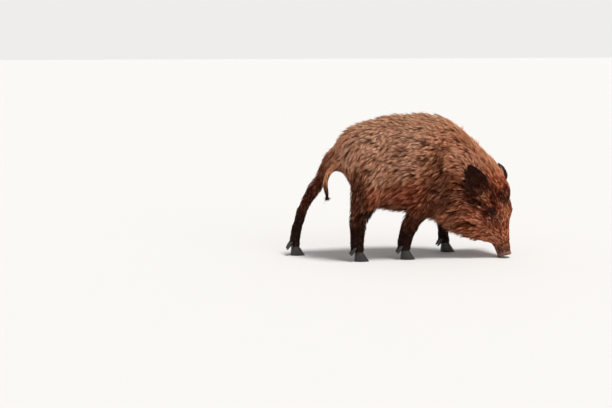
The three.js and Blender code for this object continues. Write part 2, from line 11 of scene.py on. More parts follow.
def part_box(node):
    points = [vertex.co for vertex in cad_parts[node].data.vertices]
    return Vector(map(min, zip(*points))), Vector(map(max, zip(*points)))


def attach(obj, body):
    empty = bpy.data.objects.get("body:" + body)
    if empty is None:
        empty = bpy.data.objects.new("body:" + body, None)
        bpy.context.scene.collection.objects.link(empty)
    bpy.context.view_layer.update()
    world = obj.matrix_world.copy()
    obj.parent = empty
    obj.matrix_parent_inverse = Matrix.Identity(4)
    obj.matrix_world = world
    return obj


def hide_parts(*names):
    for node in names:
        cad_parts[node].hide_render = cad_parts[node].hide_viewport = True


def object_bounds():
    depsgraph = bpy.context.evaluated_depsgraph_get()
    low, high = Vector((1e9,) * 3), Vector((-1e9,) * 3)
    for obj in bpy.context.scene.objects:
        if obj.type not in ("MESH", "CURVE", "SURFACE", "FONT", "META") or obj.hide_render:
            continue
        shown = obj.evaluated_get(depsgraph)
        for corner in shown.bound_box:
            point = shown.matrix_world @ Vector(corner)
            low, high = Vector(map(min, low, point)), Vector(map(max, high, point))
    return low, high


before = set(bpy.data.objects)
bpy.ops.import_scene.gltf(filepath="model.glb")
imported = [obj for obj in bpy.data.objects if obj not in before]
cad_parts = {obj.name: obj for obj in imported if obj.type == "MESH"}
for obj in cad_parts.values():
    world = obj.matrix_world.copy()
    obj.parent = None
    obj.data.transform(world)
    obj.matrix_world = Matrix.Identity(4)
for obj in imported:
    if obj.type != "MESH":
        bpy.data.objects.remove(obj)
cad_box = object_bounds()


# The stand: a pale floor and soft light from above and all round, as in an open wood on a dull day. The
# camera is some metres off to the animal's right and a little above its back, and it looks past the rump,
# so that the animal stands small in the right half of the frame.
VIEW_AZIMUTH = math.radians(-11)  # how far the camera stands behind straight abeam
VIEW_ELEVATION = math.radians(7)
VIEW_DISTANCE = 7.8
AIMED_AT = Vector((0.109, 0.010, 0.38))  # inside the trunk
LOOKS_ASIDE = math.radians(4.51)  # how far the view is turned past the animal, towards its tail
LOOKS_BELOW = math.radians(0.753)
LENS, FILM = 85, 36  # millimetres
FLOOR_HALF = 30.0
LIGHTS = {  # each one's strength, its spread in degrees, and where it comes from
    "overhead": (2.7, 16, (0.9, -0.6, 3.3)),
    "front": (0.45, 50, (1.6, -2.6, 1.9)),
}


def linear(code):
    """An sRGB hex colour as linear red, green, blue and alpha."""
    shares = [int(code[i : i + 2], 16) / 255 for i in (0, 2, 4)]
    return [c / 12.92 if c <= 0.04045 else ((c + 0.055) / 1.055) ** 2.4 for c in shares] + [1.0]


def put(name, data):
    """A new object in the scene, at the origin."""
    made = bpy.data.objects.new(name, data)
    bpy.context.scene.collection.objects.link(made)
    return made


def add(tree, kind, inputs=None, **settings):
    """Adds a node with its settings. An input takes a value, or the socket that feeds it."""
    made = tree.nodes.new(kind)
    for name, value in settings.items():
        setattr(made, name, value)
    for socket, value in (inputs or {}).items():
        if isinstance(value, bpy.types.NodeSocket):
            tree.links.new(value, made.inputs[socket])
        else:
            made.inputs[socket].default_value = value
    return made


def material_of(name):
    """A new material and its empty node tree."""
    material = bpy.data.materials.new(name)
    material.use_nodes = True
    material.node_tree.nodes.clear()
    return material, material.node_tree


def finished(tree, shader):
    """Feeds a shader to the material's output."""
    add(tree, "ShaderNodeOutputMaterial", {"Surface": shader.outputs[0]})


sight = Vector((
    -math.sin(VIEW_AZIMUTH) * math.cos(VIEW_ELEVATION),
    math.cos(VIEW_AZIMUTH) * math.cos(VIEW_ELEVATION),
    -math.sin(VIEW_ELEVATION),
))
camera = put("camera", bpy.data.cameras.new("camera"))
camera.data.lens = LENS
camera.data.sensor_width = FILM
axis = Matrix.Rotation(LOOKS_ASIDE, 3, "Z") @ sight
axis = Matrix.Rotation(-LOOKS_BELOW, 3, axis.cross(Vector((0, 0, 1)))) @ axis
camera.location = AIMED_AT - sight * VIEW_DISTANCE
camera.rotation_euler = axis.to_track_quat("-Z", "Y").to_euler()
bpy.context.scene.camera = camera

floor_mesh = bpy.data.meshes.new("floor")
floor_corners = [(x * FLOOR_HALF, y * FLOOR_HALF, 0) for x, y in ((-1, -1), (1, -1), (1, 1), (-1, 1))]
floor_mesh.from_pydata(floor_corners, [], [(0, 1, 2, 3)])
floor = put("floor", floor_mesh)
pale, tree = material_of("matt floor paint")
finished(tree, add(tree, "ShaderNodeBsdfPrincipled", {"Base Color": linear("e2e0dd"), "Roughness": 0.9}))
floor_mesh.materials.append(pale)

world = bpy.data.worlds.new("studio")
world.use_nodes = True
bpy.context.scene.world = world
tree = world.node_tree
tree.nodes.clear()
path = add(tree, "ShaderNodeLightPath")
seen = add(tree, "ShaderNodeMath", {0: path.outputs["Is Camera Ray"], 1: path.outputs["Is Glossy Ray"]},
           operation="MAXIMUM")
seen = add(tree, "ShaderNodeMath", {0: seen.outputs[0], 1: path.outputs["Is Transmission Ray"]},
           operation="MAXIMUM")
fill = add(tree, "ShaderNodeBackground", {"Color": linear("ffffff"), "Strength": 0.36})
backdrop = add(tree, "ShaderNodeBackground", {"Color": linear("eeedeb"), "Strength": 1.0})
both = add(tree, "ShaderNodeMixShader", {0: seen.outputs[0], 1: fill.outputs[0], 2: backdrop.outputs[0]})
add(tree, "ShaderNodeOutputWorld", {"Surface": both.outputs[0]})

for name, (strength, spread, place) in LIGHTS.items():
    lamp = bpy.data.lights.new(name, "SUN")
    lamp.energy = strength
    lamp.angle = math.radians(spread)
    lamp_object = put(name, lamp)
    lamp_object.location = place
    lamp_object.rotation_euler = (-Vector(place)).to_track_quat("-Z", "Y").to_euler()

bpy.context.scene.view_settings.view_transform = "Standard"


# Where things are on the body. The head hangs steeply and turns to the animal's right: its own three
# directions come from the eyes, and a place on it is told by how far it is behind the nose, to the left and
# above. A place on the trunk is told by shares of the trunk's box.
HEAD_PITCH = math.radians(73)
EYES_BEHIND = 0.236
EYES_ABOVE = 0.044
SLICE, SLICE_SHARE = 0.018, 0.06  # half the height of a slice of a limb: metres, and a share of the limb
UP = np.array((0.0, 0.0, 1.0))


def middle(name):
    """The middle of a node's box."""
    low_corner, high_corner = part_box(name)
    return np.array((low_corner + high_corner) / 2)


leftward = middle("eye_left") - middle("eye_right")
leftward = leftward / np.linalg.norm(leftward)
level_ahead = np.cross(leftward, UP)
forward = level_ahead * math.cos(HEAD_PITCH) - UP * math.sin(HEAD_PITCH)
dorsal = level_ahead * math.sin(HEAD_PITCH) + UP * math.cos(HEAD_PITCH)
between_eyes = (middle("eye_left") + middle("eye_right")) / 2
nose = between_eyes + forward * EYES_BEHIND - dorsal * EYES_ABOVE


def on_head(behind, left, above):
    """A place on the head, in metres behind the nose, to the left of it and above it."""
    return nose - forward * behind + leftward * left + dorsal * above


def along_head(behind, left, above):
    """A direction told in the head's own terms."""
    return leftward * left + dorsal * above - forward * behind


def within(name, along, left, up):
    """A place in a node's box: along from its rear to its front, left from -1 to 1, up from 0 to 1."""
    low_corner, high_corner = (np.array(corner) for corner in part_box(name))
    shares = np.array((along, (left + 1) / 2, up))
    return low_corner + (high_corner - low_corner) * shares


def corners_of(names):
    """The corners and triangles of some nodes together."""
    corners = []
    triangles = []
    count = 0
    for name in names:
        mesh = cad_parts[name].data
        mesh.calc_loop_triangles()
        here = np.empty(3 * len(mesh.vertices), np.float32)
        mesh.vertices.foreach_get("co", here)
        turns = np.empty(3 * len(mesh.loop_triangles), np.int32)
        mesh.loop_triangles.foreach_get("vertices", turns)
        corners.append(here.reshape(-1, 3))
        triangles.append(turns.reshape(-1, 3) + count)
        count += len(mesh.vertices)
    return np.concatenate(corners), np.concatenate(triangles)


def slice_middle(name, share):
    """The middle of a limb at a share of its height, counted from its top down."""
    corners, _ = corners_of([name])
    heights = corners[:, 2]
    tall = heights.max() - heights.min()
    near = np.abs(heights - (heights.max() - share * tall)) < SLICE + SLICE_SHARE * tall
    return corners[near].mean(axis=0).astype(float)


# The coat as it grows, told place by place, with a mixture between. Bristle is long on the nape and the
# back, lies back and down on the flanks, and shortens to a close velvet on the legs and the muzzle. It is
# pale straw above, rusty on the head and low on the sides, and nearly black on the ears and the feet.
SIDES = {"right": -1, "left": 1}
# How far the hide is rounded over the flesh: 0 keeps its edges, 1 drapes them closely, and 2 broadly.
TRUNK_SOFT, NECK_SOFT, FACE_SOFT = 2, 1.8, 1.0
NECK_UP = np.array((0.66, 0, 0.75))  # square to the neck's line
ROWS_AT_ONCE = 20000
SMALL = 1e-5  # keeps a weight finite at its own place
PLACES = []


def coat(piece, where, lie, hair, depth, lock, colour, reach, soft):
    """Notes one place: millimetres for the hair, its depth and a lock's breadth, metres for the reach."""
    lie = np.array(lie, float)
    lie = lie / np.linalg.norm(lie)
    colour = linear(colour)[:3]
    PLACES.append((piece, where, [*lie, hair / 1000, depth / 1000, lock / 1000, *colour, soft], reach))


def on_trunk(piece, along, left, up, lie, hair, depth, lock, colour, reach=0.13):
    """Notes a place on the trunk, and its twin on the other side where it isn't on the middle."""
    for way in ((-1, 1) if left else (1,)):
        side_piece = piece + ("_right" if way < 0 else "_left") if piece.startswith("flank") else piece
        coat(side_piece, within("trunk", along, way * left, up), (lie[0], way * lie[1], lie[2]),
             hair, depth, lock, colour, reach, TRUNK_SOFT)


def on_neck(piece, along, left, up, lie, hair, depth, lock, colour, reach=0.1):
    """Notes a place on the neck, told along the line from between the shoulders to the back of the head."""
    start = within("trunk", 0.88, 0, 0.5)
    end = on_head(0.34, 0, -0.02)
    for way in ((-1, 1) if left else (1,)):
        where = start + (end - start) * along + leftward * way * left + NECK_UP * up
        side_piece = piece + ("_right" if way < 0 else "_left") if left else piece
        coat(side_piece, where, (lie[0], way * lie[1], lie[2]),
             hair, depth, lock, colour, reach, NECK_SOFT)


def on_face(piece, behind, left, above, lie, hair, depth, lock, colour, reach=0.045, soft=FACE_SOFT):
    """Notes a place on the head, and its twin; the lie is told in the head's own terms."""
    for way in ((-1, 1) if left else (1,)):
        coat(piece, on_head(behind, way * left, above), along_head(lie[0], way * lie[1], lie[2]),
             hair, depth, lock, colour, reach, soft)


# The colours of the hair, as it is half way up a tuft.
BACK, UPPER_FLANK, MID_FLANK, LOW_FLANK = "febe91", "d39c7c", "bf8568", "9b3f1b"
RUMP, HAM, BELLY, SHOULDER, LOW_SHOULDER = "7c361c", "5b2811", "633118", "632c10", "692c13"
NECK, NAPE, RUFF, CHEEK = "f1a681", "fdb17b", "aa5631", "b65b31"
FOREHEAD, BROW_SHADOWED, BRIDGE, MUZZLE, DISC = "602910", "4b1102", "a8532b", "e68662", "7e5546"
TEMPLE, CREASE_SHADOWED, STIFLE_SHADOWED, CROWN = "e89967", "481b0a", "2a130a", "b6552a"
SNOUT_SIDE, CHEEK_TOP, UNDER_EAR, BEHIND_EAR = "84412b", "8c3a19", "6a3420", "7a3412"
EAR, EAR_ROOT, DARK_LEG, FOOT, TASSEL, HOCK = "3a1309", "4d1c0c", "321206", "301309", "271209", "57230f"

# Each row gives the piece of the coat, the place, the way the hair lies there, the hair's length, its depth
# and a lock's breadth in millimetres, the colour, and how many metres the place's say reaches.
on_trunk("back", 0.10, 0, 0.86, (-0.75, 0, -0.60), 60, 22, 4.6, BACK)
on_trunk("back", 0.30, 0, 0.97, (-0.95, 0, -0.22), 66, 24, 4.6, BACK)
on_trunk("back", 0.55, 0, 1.00, (-1.00, 0, -0.02), 70, 25, 4.6, BACK)
on_trunk("back", 0.82, 0, 1.00, (-0.97, 0, 0.16), 76, 28, 4.8, BACK)
on_trunk("flank_rear", 0.16, 0.80, 0.66, (-0.60, 0, -0.78), 56, 20, 4.4, MID_FLANK)
on_trunk("flank_rear", 0.34, 0.85, 0.82, (-0.78, 0.1, -0.58), 60, 22, 4.4, UPPER_FLANK)
on_trunk("flank_front", 0.60, 0.85, 0.86, (-0.98, 0.1, -0.16), 64, 24, 4.4, UPPER_FLANK)
on_trunk("flank_rear", 0.38, 1.00, 0.46, (-0.78, 0, -0.56), 56, 22, 4.4, MID_FLANK, 0.12)
on_trunk("flank_front", 0.56, 1.00, 0.52, (-1.00, 0, -0.12), 60, 22, 4.4, MID_FLANK)
on_trunk("flank_rear", 0.36, 0.90, 0.22, (-0.80, 0, -0.60), 60, 24, 4.4, LOW_FLANK)
on_trunk("flank_front", 0.60, 0.90, 0.24, (-0.88, 0, -0.42), 60, 24, 4.4, LOW_FLANK)
on_trunk("belly", 0.38, 0, 0.02, (-0.85, 0, -0.45), 52, 20, 4.4, BELLY)
on_trunk("belly", 0.68, 0, 0.02, (-0.85, 0, -0.40), 52, 20, 4.4, BELLY)
on_trunk("rump", 0.00, 0.55, 0.62, (-0.42, 0.1, -0.90), 52, 18, 4.4, RUMP)
on_trunk("rump", -0.02, 0, 0.60, (-0.30, 0, -0.95), 44, 16, 4.2, RUMP, 0.09)
on_trunk("rump", 0.06, 0.80, 0.38, (-0.30, 0, -0.95), 42, 14, 4.2, HAM, 0.09)
on_trunk("rump", 0.21, 1.00, 0.42, (-0.30, 0, -0.95), 44, 17, 4.2, HAM, 0.10)
on_trunk("rump", 0.19, 0.85, 0.27, (-0.25, 0, -0.95), 42, 16, 4.2, HAM, 0.11)
# The stifle's dark fur, with painted shade in the fold where the thigh meets the flank.
on_trunk("rump", 0.31, 0.80, 0.08, (-0.35, 0, -0.95), 36, 14, 4.2, STIFLE_SHADOWED, 0.085)
on_trunk("rump", 0.31, 0.95, 0.20, (-0.35, 0, -0.95), 40, 16, 4.2, STIFLE_SHADOWED, 0.05)
on_trunk("flank_front", 0.88, 0.95, 0.56, (-0.52, 0, -0.85), 58, 24, 4.4, SHOULDER)
on_trunk("flank_front", 0.84, 0.85, 0.26, (-0.55, 0, -0.83), 50, 20, 4.2, LOW_SHOULDER, 0.10)

on_neck("neck", 0.15, 0, 0.23, (-0.80, 0, 0.60), 80, 29, 4.8, NAPE)
on_neck("neck", 0.55, 0, 0.20, (-0.70, 0, 0.72), 80, 28, 4.8, NAPE)
on_neck("neck", 0.92, 0, 0.17, (-0.62, 0, 0.78), 64, 20, 4.4, NAPE, 0.07)
on_neck("neck", 0.25, 0.15, 0.10, (-0.92, 0, 0.40), 66, 25, 4.4, NECK)
on_neck("neck", 0.65, 0.14, 0.10, (-0.75, 0, 0.62), 60, 22, 4.4, NECK, 0.08)
on_neck("neck", 0.45, 0.15, -0.06, (-0.95, 0, -0.10), 66, 26, 4.4, SHOULDER, 0.08)
on_neck("neck", 0.62, 0.15, 0.00, (-0.85, 0, 0.30), 60, 24, 4.4, BEHIND_EAR, 0.07)
on_neck("throat", 0.55, 0, -0.18, (-0.90, 0, -0.25), 80, 32, 4.8, RUFF)
on_neck("throat", 0.95, 0.12, -0.14, (-0.95, 0, -0.20), 80, 34, 4.8, RUFF, 0.08)

on_face("head", 0.385, 0, 0.085, (1, 0, -0.1), 44, 13, 3.6, CROWN)
on_face("head", 0.345, 0.082, 0.080, (1, 0, -0.1), 18, 8, 3.0, FOREHEAD, 0.040)
on_face("head", 0.355, 0.118, 0.035, (1, 0, -0.1), 9, 6, 2.4, UNDER_EAR, 0.026)
on_face("head", 0.350, 0.120, 0.000, (1, 0, -0.3), 9, 6, 2.4, UNDER_EAR, 0.026)
on_face("head", 0.352, 0.035, 0.108, (1, 0, 0), 26, 9, 3.4, CROWN, 0.035)
# Dark hair on the brow and round the eyes, with painted shade of the hollow under the forehead's bristle.
on_face("head", 0.322, 0, 0.106, (1, 0, 0), 24, 8, 3.2, BROW_SHADOWED, 0.028)
on_face("head", 0.312, 0.036, 0.102, (1, 0.1, 0), 22, 7, 3.0, BROW_SHADOWED, 0.028)
on_face("head", 0.300, 0.068, 0.084, (1, 0.1, 0), 20, 7, 3.0, BROW_SHADOWED, 0.028)
on_face("head", 0.325, 0.058, 0.096, (1, 0.1, 0), 20, 7, 3.0, BROW_SHADOWED, 0.026)
on_face("head", 0.270, 0, 0.090, (1, 0, 0), 20, 6, 3.0, FOREHEAD, 0.04)
on_face("head", 0.215, 0, 0.070, (1, 0, 0), 22, 5.5, 2.8, BRIDGE)
on_face("head", 0.130, 0, 0.048, (1, 0, 0), 18, 4, 2.6, BRIDGE)
on_face("head", 0.045, 0, 0.040, (1, 0, 0), 7, 2, 1.8, BRIDGE, 0.03)
on_face("head", 0.190, 0.060, 0.020, (1, 0.1, -0.45), 24, 5.5, 3.2, SNOUT_SIDE, 0.045)
on_face("head", 0.145, 0.055, 0.005, (0.8, 0.1, -0.7), 24, 5, 3.2, CHEEK, 0.033)
on_face("head", 0.080, 0.045, -0.005, (0.9, 0.1, -0.5), 16, 3.5, 2.6, MUZZLE, 0.038)
on_face("head", 0.240, 0.078, 0.046, (1, 0, -0.2), 7, 1.5, 1.8, BROW_SHADOWED, 0.026)
on_face("head", 0.325, 0.105, 0.022, (0.8, 0.1, -0.5), 14, 6, 2.8, TEMPLE, 0.030)
# Painted shade along the fold that runs from under the eye back below the ear.
on_face("head", 0.268, 0.096, 0.016, (0.8, 0, -0.5), 14, 5, 2.6, CREASE_SHADOWED, 0.014)
on_face("head", 0.272, 0.088, 0.044, (0.9, 0, -0.4), 14, 4, 2.6, TEMPLE, 0.017)
on_face("head", 0.226, 0.088, 0.010, (0.9, 0, -0.5), 12, 4, 2.4, CREASE_SHADOWED, 0.018)
on_face("head", 0.232, 0.060, 0.072, (1, 0, -0.1), 14, 4, 2.6, CHEEK_TOP, 0.018)
on_face("head", 0.210, 0.085, 0.026, (1, 0.1, -0.4), 12, 4, 2.4, FOREHEAD, 0.018)
on_face("head", 0.288, 0.103, 0.000, (0.8, 0, -0.5), 14, 5, 2.6, CREASE_SHADOWED, 0.018)
on_face("head", 0.305, 0.110, -0.018, (0.7, 0, -0.6), 14, 5, 2.6, CREASE_SHADOWED, 0.018)
on_face("head", 0.320, 0.113, -0.034, (0.7, 0, -0.6), 16, 6, 2.8, CREASE_SHADOWED, 0.019)
on_face("head", 0.335, 0.115, -0.050, (0.6, 0, -0.7), 20, 8, 3.0, CREASE_SHADOWED, 0.021)
on_face("head", 0.375, 0.115, -0.018, (0.7, 0, -0.8), 26, 11, 3.4, UNDER_EAR, 0.036)
on_face("throat", 0.235, 0.100, -0.035, (0.5, 0.2, -0.85), 36, 12, 3.6, CHEEK)
on_face("throat", 0.285, 0.110, -0.100, (0.35, 0.2, -1), 56, 20, 4.2, CHEEK_TOP, 0.05)
on_face("throat", 0.235, 0.100, -0.110, (0.3, 0.2, -1), 52, 18, 4.2, CHEEK, 0.045)
on_face("throat", 0.205, 0.094, -0.088, (0.3, 0.2, -1), 44, 15, 4.0, TEMPLE, 0.028)
on_face("throat", 0.175, 0.080, -0.090, (0.25, 0.1, -1), 44, 15, 4.0, CHEEK, 0.05)
on_face("throat", 0.280, 0.050, -0.190, (0.15, 0, -1), 76, 28, 4.8, CHEEK_TOP, 0.06)
on_face("throat", 0.215, 0.060, -0.165, (0.05, 0, -1), 70, 24, 4.8, RUFF, 0.06)
on_face("head", 0.120, 0.030, -0.050, (0.5, 0.1, -0.9), 24, 6, 3.0, MUZZLE)
on_face("head", 0.060, 0.000, -0.035, (0.8, 0, -0.5), 10, 2.5, 2.0, MUZZLE, 0.03)
for ring_left, ring_above in ((0, 0.036), (0.034, 0.006), (0, -0.028), (0, 0.006)):
    on_face("head", 0.002, ring_left, ring_above, (1, 0, 0), 3, 0.4, 1.2, DISC, 0.03, 0.0)


def ear_root(way):
    """Where an ear leaves the head."""
    return on_head(0.37, way * 0.12, 0.024)


for side, way in SIDES.items():
    root = ear_root(way)
    corners, _ = corners_of(["ear_" + side])
    tip = corners[np.argmax(np.linalg.norm(corners - root, axis=1))].astype(float)
    for share, hair, tone in ((0.25, 22, EAR_ROOT), (0.5, 18, EAR), (0.75, 16, EAR), (1.0, 14, EAR)):
        coat("ears", root + (tip - root) * share, tip - root, hair, 2.2, 2.0, tone, 0.05, 0.0)
    for leg, piece in (("foreleg_", "forelegs"), ("hindleg_", "hindlegs")):
        for share, hair, depth, tone in (
            (0.12, 30, 11, LOW_SHOULDER if leg == "foreleg_" else HAM),
            (0.40, 20, 7, DARK_LEG if leg == "foreleg_" else HOCK),
            (0.70, 12, 4.5, DARK_LEG),
            (0.95, 10, 3, FOOT),
        ):
            coat(piece, slice_middle(leg + side, share), (-0.18, 0, -1),
                 hair, depth, 2.8, tone, 0.07, 1 - share / 2)
for share, hair, tone in (
    (0.10, 32, TEMPLE),
    (0.30, 32, TEMPLE),
    (0.50, 30, TEMPLE),
    (0.75, 30, HAM),
    (0.95, 70, TASSEL),
):
    coat("tail", slice_middle("tail", share), (-0.15, 0, -1), hair, 3, 3.0, tone, 0.04, 0.0)

PLACE_POINTS = np.array([where for _, where, _, _ in PLACES])
PLACE_VALUES = np.array([values for _, _, values, _ in PLACES])
PLACE_REACH = np.array([reach for _, _, _, reach in PLACES])
PIECE_NAMES = sorted(set(piece for piece, _, _, _ in PLACES))
PLACE_PIECE = np.array([PIECE_NAMES.index(piece) for piece, _, _, _ in PLACES])
LIE, HAIR, DEPTH, LOCK, COLOUR, SOFT = slice(0, 3), 3, 4, 5, slice(6, 9), 9
PLACE_VALUES[:, COLOUR] = np.log(PLACE_VALUES[:, COLOUR])


def averaged(weight, rows):
    """The weighted means of places' values. Colours are kept as logarithms, so that dark ones hold."""
    mean = (weight @ rows) / weight.sum(axis=1, keepdims=True)
    mean[:, COLOUR] = np.exp(mean[:, COLOUR])
    return mean


def coat_at(points):
    """The coat's values at each point, and the piece of the coat that has the most say there."""
    values = np.empty((len(points), PLACE_VALUES.shape[1]))
    piece = np.empty(len(points), int)
    for start in range(0, len(points), ROWS_AT_ONCE):
        some = slice(start, start + ROWS_AT_ONCE)
        apart = points[some, None, :] - PLACE_POINTS[None, :, :]
        weight = PLACE_REACH**4 / (np.sum(apart**2, axis=2) + SMALL) ** 2
        values[some] = averaged(weight, PLACE_VALUES)
        piece[some] = PLACE_PIECE[np.argmax(weight, axis=1)]
    return values, piece


# The skin: one closed hide from the snout to the coronets, as deep under the outline of the coat as the
# hair there is thick. It is drawn tight over the flesh, which rounds the trunk and the neck, and keeps the
# ears, the snout's disc and the feet crisp.
VOXEL = 0.0026
AROUND = 0.036  # the air kept round the animal
CUT = 0.00045  # a little more than half of the cuts between two parts of the flesh
BLOCK = 8  # the coat's depth is worked out on every eighth point of the lattice
PLAIN_BAND = 0.034  # how far from the outline the lattice knows its distance
BROAD_OUT, BROAD_IN = 0.05, 0.09
SIMPLER = 0.04  # how far the skin's triangles may be merged where it is flat
FLESH = [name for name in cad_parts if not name.startswith(("hoof", "dewclaw", "eye"))]

low = np.array(cad_box[0], float) - AROUND
blocks = np.ceil((np.array(cad_box[1], float) + AROUND - low) / (BLOCK * VOXEL)).astype(int)


def distances(points, triangles, voxel, outside, inside):
    """How far each point of a lattice round the animal is from a surface, negative inside it."""
    grid = openvdb.FloatGrid.createLevelSetFromPolygons(
        (points - low).astype(np.float32),
        triangles=triangles.astype(np.uint32),
        transform=openvdb.createLinearTransform(voxel),
        exBandWidth=outside / voxel,
        inBandWidth=inside / voxel,
    )
    values = np.empty(blocks * int(round(BLOCK * VOXEL / voxel)) + 1, np.float32)
    grid.copyToArray(values)
    return values


def surface(values, level, adaptivity):
    """The points and triangles of the surface on which a lattice's values reach a level."""
    grid = openvdb.FloatGrid(float(values.max()))
    grid.transform = openvdb.createLinearTransform(VOXEL)
    grid.gridClass = openvdb.GridClass.LEVEL_SET
    grid.copyFromArray(values)
    points, triangles, quads = grid.convertToPolygons(level, adaptivity)
    halves = np.concatenate((quads[:, (0, 1, 2)], quads[:, (0, 2, 3)]))
    triangles = np.concatenate((triangles, halves)).astype(np.int64)
    points = points.astype(float) + low
    a, b, c = (points[triangles[:, i]] for i in range(3))
    if np.einsum("ij,ij->i", a, np.cross(b, c)).sum() < 0:
        triangles = triangles[:, ::-1]
    return points, triangles


def doubled(values):
    """A lattice of twice the fineness, by straight lines between the points."""
    for across in range(3):
        values = np.moveaxis(values, across, 0)
        finer = np.empty((2 * len(values) - 1, *values.shape[1:]), values.dtype)
        finer[::2] = values
        finer[1::2] = (values[1:] + values[:-1]) / 2
        values = np.moveaxis(finer, 0, across)
    return np.ascontiguousarray(values)


def softened(values, steps):
    """A lattice averaged over a box of so many steps each way, twice."""
    for _ in range(2):
        for across in range(3):
            values = np.moveaxis(values, across, 0)
            padded = np.pad(values, ((steps + 1, steps), (0, 0), (0, 0)), mode="edge")
            total = np.cumsum(padded, axis=0, dtype=np.float32)
            width = 2 * steps + 1
            values = (total[width:] - total[:-width]) / width
            values = np.moveaxis(values, 0, across)
    return np.ascontiguousarray(values)


flesh_points, flesh_triangles = corners_of(FLESH)
closed = distances(flesh_points, flesh_triangles, VOXEL, 4 * VOXEL, 4 * VOXEL)
outline, outline_triangles = surface(closed, CUT, 0.0)
plain = distances(outline, outline_triangles, VOXEL, PLAIN_BAND, PLAIN_BAND)
broad = doubled(softened(distances(outline, outline_triangles, 2 * VOXEL, BROAD_OUT, BROAD_IN), 3))
tight = softened(plain, 2)

coarse_axes = [low[i] + BLOCK * VOXEL * np.arange(blocks[i] + 1) for i in range(3)]
lattice = np.stack(np.meshgrid(*coarse_axes, indexing="ij"), axis=-1)
lattice_values, _ = coat_at(lattice.reshape(-1, 3))
depth = lattice_values[:, DEPTH].reshape(lattice.shape[:3]).astype(np.float32)
soft = lattice_values[:, SOFT].reshape(lattice.shape[:3]).astype(np.float32)
for _ in range(3):
    depth = doubled(depth)
    soft = doubled(soft)

skin_field = plain * np.clip(1 - soft, 0, 1) + tight * (1 - np.abs(np.clip(soft, 0, 2) - 1))
skin_field += broad * np.clip(soft - 1, 0, 1) + depth + CUT
del broad, tight, soft, depth


def block_round(centre, radius):
    """The part of the lattice round a place, and its points."""
    first = np.maximum(((centre - radius - low) / VOXEL).astype(int), 0)
    last = np.minimum(((centre + radius - low) / VOXEL).astype(int) + 2, skin_field.shape)
    part = tuple(slice(a, b) for a, b in zip(first, last))
    axes = [low[i] + VOXEL * np.arange(first[i], last[i]) for i in range(3)]
    return part, np.stack(np.meshgrid(*axes, indexing="ij"), axis=-1)


def merged(a, b, blend):
    """Two shapes as one, with a fillet about as wide as the blend."""
    share = np.clip(0.5 + 0.5 * (b - a) / blend, 0, 1)
    return b + (a - b) * share - blend * share * (1 - share)


def build_up(part, shape, blend):
    """Adds a shape to the skin."""
    skin_field[part] = merged(skin_field[part], shape, blend)


def carve(part, shape, blend):
    """Takes a shape out of the skin."""
    skin_field[part] = -merged(-skin_field[part], shape, blend)


def capsule(points, start, end, start_radius, end_radius):
    """The distance from a round-ended taper."""
    run = end - start
    share = np.clip((points - start) @ run / (run @ run), 0, 1)
    nearest = start + share[..., None] * run
    return np.linalg.norm(points - nearest, axis=-1) - (start_radius + (end_radius - start_radius) * share)


def ellipsoid(points, centre, axes, radii):
    """The distance, near enough, from an ellipsoid that lies along three directions."""
    apart = points - centre
    scaled = np.stack([(apart @ a) / r for a, r in zip(axes, radii)], axis=-1)
    return (np.linalg.norm(scaled, axis=-1) - 1) * min(radii)


# The ears and the tail are too thin to be sunk under their coat, so each is set on the hide as it is, with a
# root that runs down into the flesh.
SUNK = {"ear_right": 0.0008, "ear_left": 0.0008, "tail": 0.002}  # the depth of its hair
THIN_BAND = 0.02
thin_fields = {}
for name, sunk in SUNK.items():
    points, triangles = corners_of([name])
    thin_fields[name] = distances(points, triangles, VOXEL, THIN_BAND, THIN_BAND) + sunk
    skin_field = merged(skin_field, thin_fields[name], 0.003)
for way in SIDES.values():
    part, here = block_round(ear_root(way), 0.11)
    build_up(part, capsule(here, on_head(0.345, way * 0.07, 0.0), ear_root(way), 0.034, 0.015), 0.014)
tail_root = slice_middle("tail", 0.04)
part, here = block_round(tail_root, 0.09)
build_up(part, capsule(here, tail_root, tail_root + np.array((0.05, 0, 0.012)), 0.012, 0.022), 0.01)


# The face: each eye lies between two lids under a brow, a crease parts the lips along the jaw, and the skin
# of the muzzle is puckered behind the disc, in which the nostrils open.
EYE_RADIUS = 0.012
EYE_SUNK = 0.006  # how far the ball lies back behind the lids
LID_THICKNESS = 0.0028
SLIT = (0.0105, 0.0056)  # half the length and half the height of the opening between the lids
LIPS_FRONT, LIPS_BACK = 0.018, 0.185  # behind the nose
LIPS_BELOW, LIPS_SLOPE, LIPS_DEPTH = 0.020, 0.1, 0.0026
FOLD_STEP, FOLD_DEPTH, FOLDS_BACK = 0.009, 0.0008, 0.062  # the puckered skin of the muzzle
BROW_RIDGE = ((0.268, 0.062, 0.062), (0.236, 0.067, 0.058), (0.206, 0.056, 0.052))
UNDER_EYE = ((0.252, 0.084, 0.022), (0.222, 0.078, 0.020))
NOSTRIL_ASIDE, NOSTRIL_ABOVE = 0.015, 0.006
eye_out = {}
eye_middle = {}
